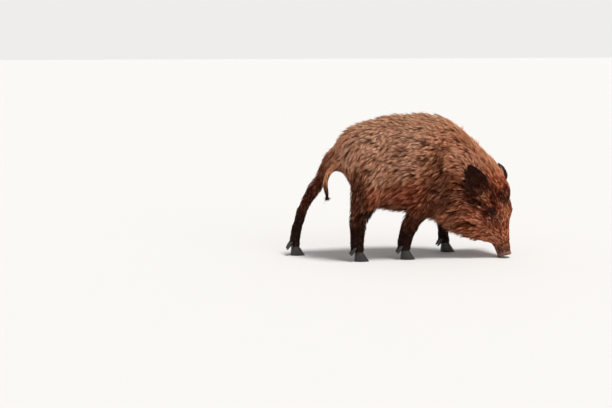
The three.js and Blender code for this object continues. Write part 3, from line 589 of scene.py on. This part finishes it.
for side, way in SIDES.items():
    centre = middle("eye_" + side)
    out = leftward * way + dorsal * 0.30 + forward * 0.20
    out = out / np.linalg.norm(out)
    slit = forward - dorsal * 0.35
    slit = slit - out * (slit @ out)
    slit = slit / np.linalg.norm(slit)
    over = np.cross(out, slit)
    eye_out[side] = out
    centre = centre - out * EYE_SUNK
    eye_middle[side] = centre
    part, here = block_round(centre, 0.05)
    rear, highest, front = (on_head(behind, way * left, above) for behind, left, above in BROW_RIDGE)
    build_up(part, capsule(here, rear, highest, 0.005, 0.006), 0.010)
    build_up(part, capsule(here, highest, front, 0.006, 0.004), 0.010)
    build_up(part, np.linalg.norm(here - centre, axis=-1) - EYE_RADIUS - LID_THICKNESS, 0.004)
    rear, front = (on_head(behind, way * left, above) for behind, left, above in UNDER_EYE)
    carve(part, capsule(here, rear, front, 0.0025, 0.0025), 0.006)
    apart = here - centre
    lens = np.hypot((apart @ slit) / SLIT[0], (apart @ over) / SLIT[1])
    carve(part, np.maximum((lens - 1) * SLIT[1], 0.004 - apart @ out), 0.0015)
    nostril = on_head(-0.002, way * NOSTRIL_ASIDE, NOSTRIL_ABOVE)
    part, here = block_round(nostril, 0.03)
    carve(part, ellipsoid(here, nostril, (forward, leftward, dorsal), (0.014, 0.006, 0.008)), 0.001)

part, here = block_round(on_head(0.10, 0, 0), 0.13)
behind = (nose - here) @ forward
above = (here - nose) @ dorsal
lip_line = np.abs(above + LIPS_BELOW - LIPS_SLOPE * (behind - 0.03))
groove = lip_line - LIPS_DEPTH * np.clip(1 + skin_field[part] / 0.008, 0, 1)
groove = np.maximum(groove, np.maximum(behind - LIPS_BACK, LIPS_FRONT - behind))
carve(part, groove, 0.002)
puckered = np.clip((behind - 0.017) / 0.006, 0, 1) * np.clip((FOLDS_BACK - behind) / 0.02, 0, 1)
puckered *= np.clip(above / 0.01, 0, 1)
skin_field[part] += FOLD_DEPTH * puckered * np.cos(2 * math.pi * behind / FOLD_STEP)

skin_points, skin_triangles = surface(skin_field, 0.0, SIMPLER)


# The hide itself: thick skin with pores, matt and a little greasy. It shows on the snout, round the eyes and
# between the tufts, where it takes their colour, darker, from the soft hair that grows close on it and from
# painted shade of the coat over it.
PORE_SPACING = 0.0035  # coarser than real pores, so that they show
ON_THIN = 0.0015  # how near a point of the hide is to the ear or tail that it belongs to
OWN_PLACES = 0.2  # how near one ear's places are to it, and the other's aren't


def sampled(values, points):
    """The lattice's value at each point, by straight lines between the lattice's own."""
    cell = np.clip((points - low) / VOXEL, 0, np.array(values.shape) - 1.001)
    base = cell.astype(int)
    share = cell - base
    total = np.zeros(len(points))
    for corner in np.ndindex(2, 2, 2):
        weight = np.prod(np.where(corner, share, 1 - share), axis=1)
        total += weight * values[tuple((base + corner).T)]
    return total


def mesh_piece(name, points, triangles, material):
    """A smooth-shaded mesh object of triangles."""
    mesh = bpy.data.meshes.new(name)
    mesh.vertices.add(len(points))
    mesh.vertices.foreach_set("co", points.astype(np.float32).ravel())
    mesh.loops.add(3 * len(triangles))
    mesh.loops.foreach_set("vertex_index", triangles.astype(np.int32).ravel())
    mesh.polygons.add(len(triangles))
    mesh.polygons.foreach_set("loop_start", np.arange(0, 3 * len(triangles), 3, dtype=np.int32))
    mesh.update(calc_edges=True)
    mesh.shade_smooth()
    mesh.materials.append(material)
    return put(name, mesh)


hide, tree = material_of("hide under bristle")
tint = add(tree, "ShaderNodeAttribute", attribute_name="hide_colour", attribute_type="GEOMETRY")
place = add(tree, "ShaderNodeTexCoord")
mottle = add(tree, "ShaderNodeTexNoise", {"Vector": place.outputs["Object"], "Scale": 60.0, "Detail": 5.0})
shade = add(tree, "ShaderNodeMapRange", {0: mottle.outputs[0], 1: 0.25, 2: 0.75, 3: 0.75, 4: 1.2})
tinted = add(tree, "ShaderNodeVectorMath", {0: tint.outputs["Color"], 1: shade.outputs[0]},
             operation="MULTIPLY")
pores = add(tree, "ShaderNodeTexVoronoi", {"Vector": place.outputs["Object"], "Scale": 1 / PORE_SPACING})
bump = add(tree, "ShaderNodeBump", {"Height": pores.outputs[0], "Strength": 0.4, "Distance": 0.0005})
finished(tree, add(tree, "ShaderNodeBsdfPrincipled",
                   {"Base Color": tinted.outputs[0], "Roughness": 0.55, "IOR": 1.42,
                    "Specular IOR Level": 0.3, "Normal": bump.outputs["Normal"]}))
skin = mesh_piece("skin", skin_points, skin_triangles, hide)
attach(skin, "root")
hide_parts(*FLESH)


def coat_on_hide(points):
    """The coat at points of the hide: the ears and the tail keep their own, whatever grows beside them."""
    values, piece = coat_at(points)
    for name, piece_name in (("ear_right", "ears"), ("ear_left", "ears"), ("tail", "tail")):
        on_it = sampled(thin_fields[name], points) < ON_THIN
        own = PLACE_PIECE == PIECE_NAMES.index(piece_name)
        own &= np.linalg.norm(PLACE_POINTS - middle(name), axis=1) < OWN_PLACES
        apart = points[on_it, None, :] - PLACE_POINTS[None, own, :]
        weight = 1 / (np.sum(apart**2, axis=2) + SMALL)
        values[on_it] = averaged(weight, PLACE_VALUES[own])
        piece[on_it] = PIECE_NAMES.index(piece_name)
    return values, piece


# The unwrap of the hide: its triangles are parted by the piece of the coat they lie under and by the side
# they face most, each part is laid flat as seen from that side, and the parts are packed on shelves. The
# tufts of the coat take their place on the same unwrap.
DISC_BACK = 0.015  # the snout's disc is bare
LID = "24140e"
LID_EDGE, LID_FADE = 0.019, 0.004  # the lids' bare skin, from the middle of the eye
UNDERCOAT_AND_SHADOW = 0.3  # the hide's brightness under the coat: its dark soft hair, and painted shade
SHELF_SLACK = 1.12  # the shelves' breadth over the side of a square of the parts' own area
PART_GAP = 0.012  # metres between two parts


def facing(normals):
    """Which of six sides each normal faces most: 0 to 2 forwards along an axis, 3 to 5 backwards."""
    across = np.argmax(np.abs(normals), axis=1)
    return across + 3 * (normals[np.arange(len(normals)), across] < 0)


def laid_flat(points, sides):
    """Points seen flat from the side each of them faces."""
    keep = np.array([(1, 2), (0, 2), (0, 1)])[sides % 3]
    rows = np.arange(len(points))
    return np.stack((points[rows, keep[:, 0]], points[rows, keep[:, 1]]), axis=1)


def triangle_normals(points, triangles):
    """The normal of each triangle, twice as long as the triangle is large."""
    a, b, c = (points[triangles[:, i]] for i in range(3))
    return np.cross(b - a, c - a)


corner_normals = np.zeros_like(skin_points)
skin_normals = triangle_normals(skin_points, skin_triangles)
for corner in range(3):
    np.add.at(corner_normals, skin_triangles[:, corner], skin_normals)
smooth_normals = corner_normals[skin_triangles].sum(axis=1)
skin_centres = skin_points[skin_triangles].mean(axis=1)
_, skin_pieces = coat_on_hide(skin_centres)
skin_sides = facing(smooth_normals)
skin_parts = skin_pieces * 6 + skin_sides

part_low = {}
part_size = {}
for part in np.unique(skin_parts):
    chosen = skin_parts == part
    flat = laid_flat(skin_points[skin_triangles[chosen]].reshape(-1, 3), np.repeat(skin_sides[chosen], 3))
    part_low[part] = flat.min(axis=0)
    part_size[part] = flat.max(axis=0) - part_low[part] + PART_GAP
shelf_length = SHELF_SLACK * math.sqrt(sum(w * h for w, h in part_size.values()))
part_place = {}
along_shelf, shelf_foot, shelf_depth = 0.0, 0.0, 0.0
for part in sorted(part_size, key=lambda part: -part_size[part][1]):
    width, height = part_size[part]
    if along_shelf + width > shelf_length:
        along_shelf = 0.0
        shelf_foot += shelf_depth
        shelf_depth = 0.0
    part_place[part] = np.array((along_shelf, shelf_foot))
    along_shelf += width
    shelf_depth = max(shelf_depth, height)
unwrap_side = max(shelf_length, shelf_foot + shelf_depth)
unwrap_shift = np.zeros((6 * len(PIECE_NAMES), 2))
for part, place in part_place.items():
    unwrap_shift[part] = place - part_low[part]


def on_unwrap(points, parts):
    """The place of each point on the unwrap."""
    return (laid_flat(points, parts % 6) + unwrap_shift[parts]) / unwrap_side


def give_map(piece, places):
    """Gives a mesh the map that its colours are kept on."""
    layer = piece.data.uv_layers.new(name="OFBake")
    layer.data.foreach_set("uv", places.astype(np.float32).ravel())


def give_colour(piece, name, colours):
    """Keeps a colour for each point of a mesh."""
    layer = piece.data.color_attributes.new(name, "FLOAT_COLOR", "POINT")
    layer.data.foreach_set("color", np.c_[colours, np.ones(len(colours))].astype(np.float32).ravel())


hide_values, _ = coat_on_hide(skin_points)
# The hide is darker than the coat: its own soft dark hair, and painted shade of the coat over it.
hide_colour = hide_values[:, COLOUR] * UNDERCOAT_AND_SHADOW
how_bare = np.clip((DISC_BACK + 0.006 - (nose - skin_points) @ forward) / 0.006, 0, 1)[:, None]
hide_colour += (np.array(linear(DISC)[:3]) - hide_colour) * how_bare
for side, way in SIDES.items():
    near = np.linalg.norm(skin_points - eye_middle[side], axis=1)
    lid = np.clip((LID_EDGE - near) / LID_FADE, 0, 1)[:, None]
    hide_colour += (np.array(linear(LID)[:3]) - hide_colour) * lid
    # Painted shade darkens the hide deep in each nostril.
    pit = np.linalg.norm(skin_points - on_head(0.004, way * NOSTRIL_ASIDE, NOSTRIL_ABOVE), axis=1)
    hide_colour *= np.clip((pit - 0.004) / 0.006, 0.12, 1)[:, None]
give_colour(skin, "hide_colour", hide_colour)

skin_loops = skin_points[skin_triangles].reshape(-1, 3)
give_map(skin, on_unwrap(skin_loops, np.repeat(skin_parts, 3)))


# The coat: bristle over a soft undercoat. The hairs stand in locks, whose tips draw together, and a tuft is
# a thin three-sided blade of them that tapers to its tip and lies along the body in the way the coat's map
# says. Roots are scattered over the hide about evenly, and nearer together where the hair is short.
EDGE_STEP = 0.004  # over which the hide's slope is read
PATCH = 0.003  # a tuft's breadth on the unwrap
# Millimetres from one root to the next, and from one lock to the next.
CLOSE = {"back": 5.0, "flank": 4.9, "neck": 5.0, "throat": 5.0, "belly": 5.6, "rump": 5.0,
         "head": 3.42, "forelegs": 4.0, "hindlegs": 4.2, "ears": 3.3, "tail": 3.6}
LOCKS = {"back": 17, "flank": 17, "neck": 15, "throat": 16, "belly": 13, "rump": 11,
         "head": 12, "forelegs": 9, "hindlegs": 9, "ears": 7, "tail": 8}
SLEEK = ("head", "forelegs", "hindlegs", "ears")  # tufts here bend once, and elsewhere twice
SHAG = {"throat": 1.5, "belly": 1.45, "rump": 1.1}  # where the hair hangs clear of the body
# How much one lock differs from another, and a tuft from the others of its lock.
LOCK_TURN, LOCK_WAVE, LOCK_TONE, LOCK_LIFT = 0.07, 0.13, 0.5, (0.7, 1.2)
TUFT_TURN, TUFT_TONE, TUFT_PULL = 0.08, 0.2, (0.62, 0.9)
TUFT_LIFT, TUFT_HAIR, TUFT_BREADTH = (0.75, 1.0), (0.75, 1.1), (0.7, 1.15)
STRAYS = 0.14  # the share of tufts that stand out of their lock: higher, longer, thinner and paler
STRAY_PULL, STRAY_LIFT, STRAY_HAIR, STRAY_BREADTH, STRAY_TONE = 0.3, 1.35, 1.15, 0.6, 1.2
HIGHLIGHT_STRAW = (1.45, 0.88, 0.60)  # painted highlight on bright strands, against a grey as bright
HIGHLIGHT_PALING = 0.4  # how soon a bright strand turns to the straw of the painted highlight
BRIGHTEST = 0.8
# Brightness from a tuft's root to its tip, by its number of steps: painted shade at the root, under the
# hair over it, and a painted highlight at the tip; and by how far it stands off its lock's middle: the
# most, a painted highlight on the lock's crown, the fall over a lock's breadth, and the least, painted
# shade in the gap between two locks.
TUFT_SHADE_AND_HIGHLIGHT = {3: (0.12, 0.55, 1.3, 1.95), 2: (0.3, 0.95, 1.4)}
LOCK_HIGHLIGHT_GAP_SHADOW = {3: (1.7, 1.5, 0.22), 2: (1.6, 1.35, 0.28)}
FLOW_SIZE = 0.021  # metres for a radian of the swing of the coat's lie
TONE_SIZE = 0.016  # and of its lighter and darker patches


def unit(directions):
    """Directions at a length of one."""
    return directions / np.maximum(np.linalg.norm(directions, axis=1, keepdims=True), 1e-9)


def outward(points):
    """The direction straight off the hide."""
    slope = np.empty_like(points)
    for across in range(3):
        step = np.zeros(3)
        step[across] = EDGE_STEP
        slope[:, across] = sampled(skin_field, points + step) - sampled(skin_field, points - step)
    return unit(slope)


def thinned(points, spacing):
    """Picks points so that no two share a cell of the spacing."""
    cells = np.floor(points / spacing).astype(np.int64)
    key = (cells[:, 0] * 4096 + cells[:, 1]) * 4096 + cells[:, 2]
    _, first = np.unique(key, return_index=True)
    return np.sort(first)


def turned(lie, normal, angle):
    """Directions turned about the normal, then laid along the hide."""
    lie = unit(lie - normal * np.sum(lie * normal, axis=1, keepdims=True))
    side = np.cross(normal, lie)
    return lie * np.cos(angle)[:, None] + side * np.sin(angle)[:, None]


def grown(roots, values, angle, lift, steps, wave):
    """The line of each tuft, as a list of its points: it leaves the hide, and levels out at its depth."""
    line = [roots]
    here = roots
    for step in range(1, steps + 1):
        share = step / steps
        normal = outward(here)
        lie = turned(values[:, LIE], normal, angle + wave * math.sin(2.2 + 5.2 * share))
        here = here + lie * (values[:, HAIR] / steps)[:, None]
        height = values[:, DEPTH] * lift * (1 - (1 - share) ** 2)
        here = here + normal * (height - sampled(skin_field, here))[:, None]
        line.append(here)
    return line


def flow(points):
    """How far the lie swings to one side and the other over a hand's breadth of the coat, in radians."""
    x, y, z = (points / FLOW_SIZE).T
    return 0.13 * np.sin(x + 1.7 * np.sin(0.4 * z + y)) + 0.11 * np.sin(1.3 * z + 0.6 * x + 1.1 * y)


def patches(points):
    """How much lighter or darker the coat is by patches a few fingers broad, as a logarithm."""
    x, y, z = (points / TONE_SIZE).T
    bands = np.sin(x + 2.1 * np.sin(0.5 * z + 0.7 * y))
    return 0.16 * (bands + np.sin(1.4 * z - 0.5 * x + 1.5 * np.sin(0.6 * x)))


def nearest(points, seeds):
    """The nearest seed to each point."""
    tree = KDTree(len(seeds))
    for index, seed in enumerate(seeds):
        tree.insert(seed, index)
    tree.balance()
    return np.array([tree.find(point)[1] for point in points])


def strand_colour(base, tone):
    """The colour of bristle at a brightness: the brighter, the nearer to straw, as a painted highlight."""
    made = base * tone
    straw = (made @ np.array((0.30, 0.52, 0.18)))[:, None] * np.array(HIGHLIGHT_STRAW)
    made = made + (straw - made) * np.clip(HIGHLIGHT_PALING * (tone - 0.6), 0, 0.6)
    return made * np.minimum(1, BRIGHTEST / np.maximum(made.max(axis=1, keepdims=True), 1e-6))


def scattered(number, spacing):
    """Roots spread over one piece's share of the hide, and the part of the unwrap that each is on."""
    chosen = np.flatnonzero(skin_pieces == number)
    wanted = int(5 * face_area[chosen].sum() / spacing**2)
    picked = rng.choice(chosen, wanted, p=face_area[chosen] / face_area[chosen].sum())
    u, v = rng.random((2, wanted, 1))
    folded = u + v > 1
    u, v = np.where(folded, 1 - u, u), np.where(folded, 1 - v, v)
    a, b, c = (skin_points[skin_triangles[picked, i]] for i in range(3))
    roots = a + (b - a) * u + (c - a) * v
    kept = thinned(roots, spacing)
    roots, parts = roots[kept], skin_parts[picked[kept]]
    furred = (nose - roots) @ forward > DISC_BACK
    for side in SIDES:
        furred &= np.linalg.norm(roots - eye_middle[side], axis=1) > EYE_RADIUS + LID_THICKNESS + 0.001
    return roots[furred], parts[furred]


def combed(roots, values, kind, steps):
    """Draws the tufts together in locks. Gives each one's line from root to tip, its breadth and tone."""
    gap = LOCKS[kind] / 1000
    seeds = thinned(roots, gap)
    middles = roots[seeds]
    lock = nearest(roots, middles)
    lock_angle = flow(middles) + rng.normal(0, LOCK_TURN, len(seeds))
    lock_lift = rng.uniform(*LOCK_LIFT, len(seeds)) * SHAG.get(kind, 1.0)
    lock_wave = rng.normal(0, LOCK_WAVE, len(seeds))
    lock_tone = np.exp(rng.normal(0, LOCK_TONE, len(seeds)) + patches(middles))
    lock_line = grown(middles, values[seeds], lock_angle, lock_lift, steps, lock_wave)

    count = len(roots)
    stray = rng.random(count) < STRAYS
    angle = lock_angle[lock] + rng.normal(0, TUFT_TURN, count)
    lift = lock_lift[lock] * rng.uniform(*TUFT_LIFT, count) * np.where(stray, STRAY_LIFT, 1)
    own = values.copy()
    own[:, HAIR] *= rng.uniform(*TUFT_HAIR, count) * np.where(stray, STRAY_HAIR, 1)
    off_middle = np.linalg.norm(roots - middles[lock], axis=1) / gap
    own[:, HAIR] *= np.clip(1.15 - 0.45 * off_middle, 0.7, 1.1)
    lift *= np.clip(1.15 - 0.5 * off_middle, 0.6, 1.05)
    own_line = grown(roots, own, angle, lift, steps, lock_wave[lock])
    pull = (rng.uniform(*TUFT_PULL, count) * np.where(stray, STRAY_PULL, 1))[:, None]
    line = []
    for step in range(steps + 1):
        drawn = lock_line[step][lock] + (roots - middles[lock]) * 0.3
        line.append(own_line[step] + (drawn - own_line[step]) * pull * (step / steps))

    breadth = values[:, LOCK] * rng.uniform(*TUFT_BREADTH, count) * np.where(stray, STRAY_BREADTH, 1)
    # Painted highlight on each lock's middle, fading to painted shade in the gaps between locks.
    most, fall, least = LOCK_HIGHLIGHT_GAP_SHADOW[steps]
    lock_light_and_shadow = np.clip(most - fall * off_middle, least, most)
    tone = lock_tone[lock] * rng.normal(1, TUFT_TONE, count) * np.where(stray, STRAY_TONE, lock_light_and_shadow)
    return line, breadth[:, None], tone[:, None]


def bladed(line, base_colour, breadth, tone, steps):
    """The tufts' points, three round the line at each step and one at the tip, and the colour of each."""
    rings = []
    colours = []
    for step in range(steps):
        ahead = unit(line[step + 1] - line[step])
        normal = outward(line[step])
        side = unit(np.cross(ahead, normal))
        over = np.cross(side, ahead)
        half = breadth * (1 - 0.55 * (step / steps)) / 2
        foot = line[step] - (normal * 0.001 if step == 0 else 0)
        rings += [foot - side * half, foot + side * half, foot + over * half * 0.8]
        # Painted shade at the tuft's root and a painted highlight at its tip.
        colours += [strand_colour(base_colour, tone * TUFT_SHADE_AND_HIGHLIGHT[steps][step])] * 3
    rings.append(line[steps])
    colours.append(strand_colour(base_colour, tone * TUFT_SHADE_AND_HIGHLIGHT[steps][steps]))
    return np.stack(rings, axis=1).reshape(-1, 3), np.clip(np.stack(colours, axis=1).reshape(-1, 3), 0, 1)


def blade_faces(steps):
    """One tuft's triangles, by its points, and where their corners are on its patch of the unwrap."""
    faces = [(0, 1, 2)]
    marks = [((0, 0), (1, 0), (0.5, 0.3))]
    across = (0.0, 1.0, 0.5)
    for left, right in ((0, 1), (1, 2), (2, 0)):
        for step in range(steps):
            foot, head = step / steps, (step + 1) / steps
            i, j = 3 * step + left, 3 * step + right
            if step == steps - 1:
                tip = ((across[left] + across[right]) / 2, head)
                faces.append((i, 3 * steps, j))
                marks.append(((across[left], foot), tip, (across[right], foot)))
                continue
            faces += [(i, i + 3, j + 3), (i, j + 3, j)]
            marks.append(((across[left], foot), (across[left], head), (across[right], head)))
            marks.append(((across[left], foot), (across[right], head), (across[right], foot)))
    return np.array(faces), (np.array(marks) - 0.5) * PATCH


# Bristle is keratin, with a dull sheen along it that the roughness of many hairs together spreads.
keratin, tree = material_of("bristle")
tint = add(tree, "ShaderNodeAttribute", attribute_name="coat_colour", attribute_type="GEOMETRY")
finished(tree, add(tree, "ShaderNodeBsdfPrincipled",
                   {"Base Color": tint.outputs["Color"], "Roughness": 0.6, "IOR": 1.55,
                    "Specular IOR Level": 0.06}))

rng = np.random.default_rng(20)
face_area = np.linalg.norm(skin_normals, axis=1) / 2
for number, piece_name in enumerate(PIECE_NAMES):
    kind = next(key for key in CLOSE if piece_name.startswith(key))
    steps = 2 if kind in SLEEK else 3
    roots, parts = scattered(number, CLOSE[kind] / 1000)
    values, _ = coat_on_hide(roots)
    line, breadth, tone = combed(roots, values, kind, steps)
    points, colours = bladed(line, values[:, COLOUR], breadth, tone, steps)
    faces, marks = blade_faces(steps)
    first = (3 * steps + 1) * np.arange(len(roots))
    triangles = (faces[None, :, :] + first[:, None, None]).reshape(-1, 3)
    places = on_unwrap(roots, parts)[:, None, None, :] + marks[None, :, :, :]
    piece = mesh_piece("coat_" + piece_name, points, triangles, keratin)
    give_map(piece, np.clip(places, 0, 1))
    give_colour(piece, "coat_colour", colours)
    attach(piece, "root")


# The eyes: small dark balls, wet and clear in front, set as deep as the lids leave them. The pupil is black
# and the iris a brown that hardly parts from it, and the lids' shade leaves the wet front little to mirror.
BULGE = 0.05  # how far the clear front stands out of the ball, as a share of its radius
BULGE_EDGE = 0.75  # radians from the middle of the pupil
GAZE_EDGE = 1.3
wet, tree = material_of("wet cornea over a dark iris")
tint = add(tree, "ShaderNodeAttribute", attribute_name="gaze", attribute_type="GEOMETRY")
ring = add(tree, "ShaderNodeValToRGB", {0: tint.outputs["Fac"]})
ring.color_ramp.elements[0].color = linear("050403")
ring.color_ramp.elements[0].position = 0.30
ring.color_ramp.elements[1].color = linear("140b08")
ring.color_ramp.elements[1].position = 1.0
for position, colour in ((0.36, "2c160b"), (0.62, "3c2010"), (0.70, "100806")):
    ring.color_ramp.elements.new(position).color = linear(colour)
finished(tree, add(tree, "ShaderNodeBsdfPrincipled",
                   {"Base Color": ring.outputs["Color"], "Roughness": 0.15, "IOR": 1.376,
                    "Specular IOR Level": 0.25}))
for side in SIDES:
    ball = bmesh.new()
    bmesh.ops.create_uvsphere(ball, u_segments=36, v_segments=24, radius=EYE_RADIUS)
    eye_mesh = bpy.data.meshes.new("eye_" + side)
    ball.to_mesh(eye_mesh)
    ball.free()
    turn = Vector(eye_out[side]).to_track_quat("Z", "Y").to_matrix()
    gaze = []
    for vertex in eye_mesh.vertices:
        off_axis = math.acos(max(-1, min(1, vertex.co.z / EYE_RADIUS)))
        cornea = 1 + BULGE * max(0, 1 - (off_axis / BULGE_EDGE) ** 2)
        gaze.append(min(1, off_axis / GAZE_EDGE))
        vertex.co = turn @ (vertex.co * cornea) + Vector(eye_middle[side])
    eye_mesh.attributes.new("gaze", "FLOAT", "POINT").data.foreach_set("value", gaze)
    eye_mesh.shade_smooth()
    eye_mesh.materials.append(wet)
    eye = put("eyeball_" + side, eye_mesh)
    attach(eye, "root")
    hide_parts("eye_" + side)


# The hooves: two toes of dark horn to a foot, and two dewclaws behind and above them. Their rims are worn
# round, faint rings of growth run round them, and their tops go up under the hair.
RING_STEP = 0.00395  # from one ring of growth to the next
WORN_RIM = 0.0016
SHARP = math.radians(24)  # an edge that is worn
FLAT = math.radians(3)
CROWN_BAND = 0.004  # the part of a hoof's top that goes up under the hair
TUCKED = {"hooves": 0.005, "dewclaws": 0.0}
horn, tree = material_of("hoof horn")
place = add(tree, "ShaderNodeTexCoord")
speckle = add(tree, "ShaderNodeTexNoise", {"Vector": place.outputs["Object"], "Scale": 90.0, "Detail": 4.0})
shade = add(tree, "ShaderNodeValToRGB", {0: speckle.outputs[0]})
shade.color_ramp.elements[0].color = linear("0f0b0a")
shade.color_ramp.elements[0].position = 0.3
shade.color_ramp.elements[1].color = linear("30261f")
shade.color_ramp.elements[1].position = 0.75
rings = add(tree, "ShaderNodeTexWave",
            {"Vector": place.outputs["Object"], "Scale": math.pi / (10 * RING_STEP), "Distortion": 1.5},
            bands_direction="Z")
bump = add(tree, "ShaderNodeBump", {"Height": rings.outputs["Fac"], "Strength": 0.35, "Distance": 0.0006})
finished(tree, add(tree, "ShaderNodeBsdfPrincipled",
                   {"Base Color": shade.outputs["Color"], "Roughness": 0.48, "IOR": 1.54,
                    "Normal": bump.outputs["Normal"]}))
for piece_name, start in (("hooves", "hoof"), ("dewclaws", "dewclaw")):
    names = [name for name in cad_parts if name.startswith(start)]
    horn_parts = bmesh.new()
    for name in names:
        part = bmesh.new()
        part.from_mesh(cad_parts[name].data)
        bmesh.ops.remove_doubles(part, verts=part.verts, dist=2e-5)
        bmesh.ops.dissolve_limit(part, angle_limit=FLAT, verts=part.verts, edges=part.edges)
        sharp = [edge for edge in part.edges if edge.calc_face_angle(0) > SHARP]
        bmesh.ops.bevel(part, geom=sharp, offset=WORN_RIM, segments=2, profile=0.6, affect="EDGES",
                        clamp_overlap=True)
        bmesh.ops.triangulate(part, faces=part.faces)
        top = max(vertex.co.z for vertex in part.verts)
        for vertex in part.verts:
            if vertex.co.z > top - CROWN_BAND:
                vertex.co.z += TUCKED[piece_name]
        part_mesh = bpy.data.meshes.new(name + "_part")
        part.to_mesh(part_mesh)
        horn_parts.from_mesh(part_mesh)
        part.free()
        bpy.data.meshes.remove(part_mesh)
    horn_mesh = bpy.data.meshes.new(piece_name)
    horn_parts.to_mesh(horn_mesh)
    horn_parts.free()
    horn_mesh.shade_smooth()
    horn_mesh.materials.append(horn)
    horn_mesh.set_sharp_from_angle(angle=math.radians(50))
    piece = put(piece_name, horn_mesh)
    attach(piece, "root")
    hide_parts(*names)
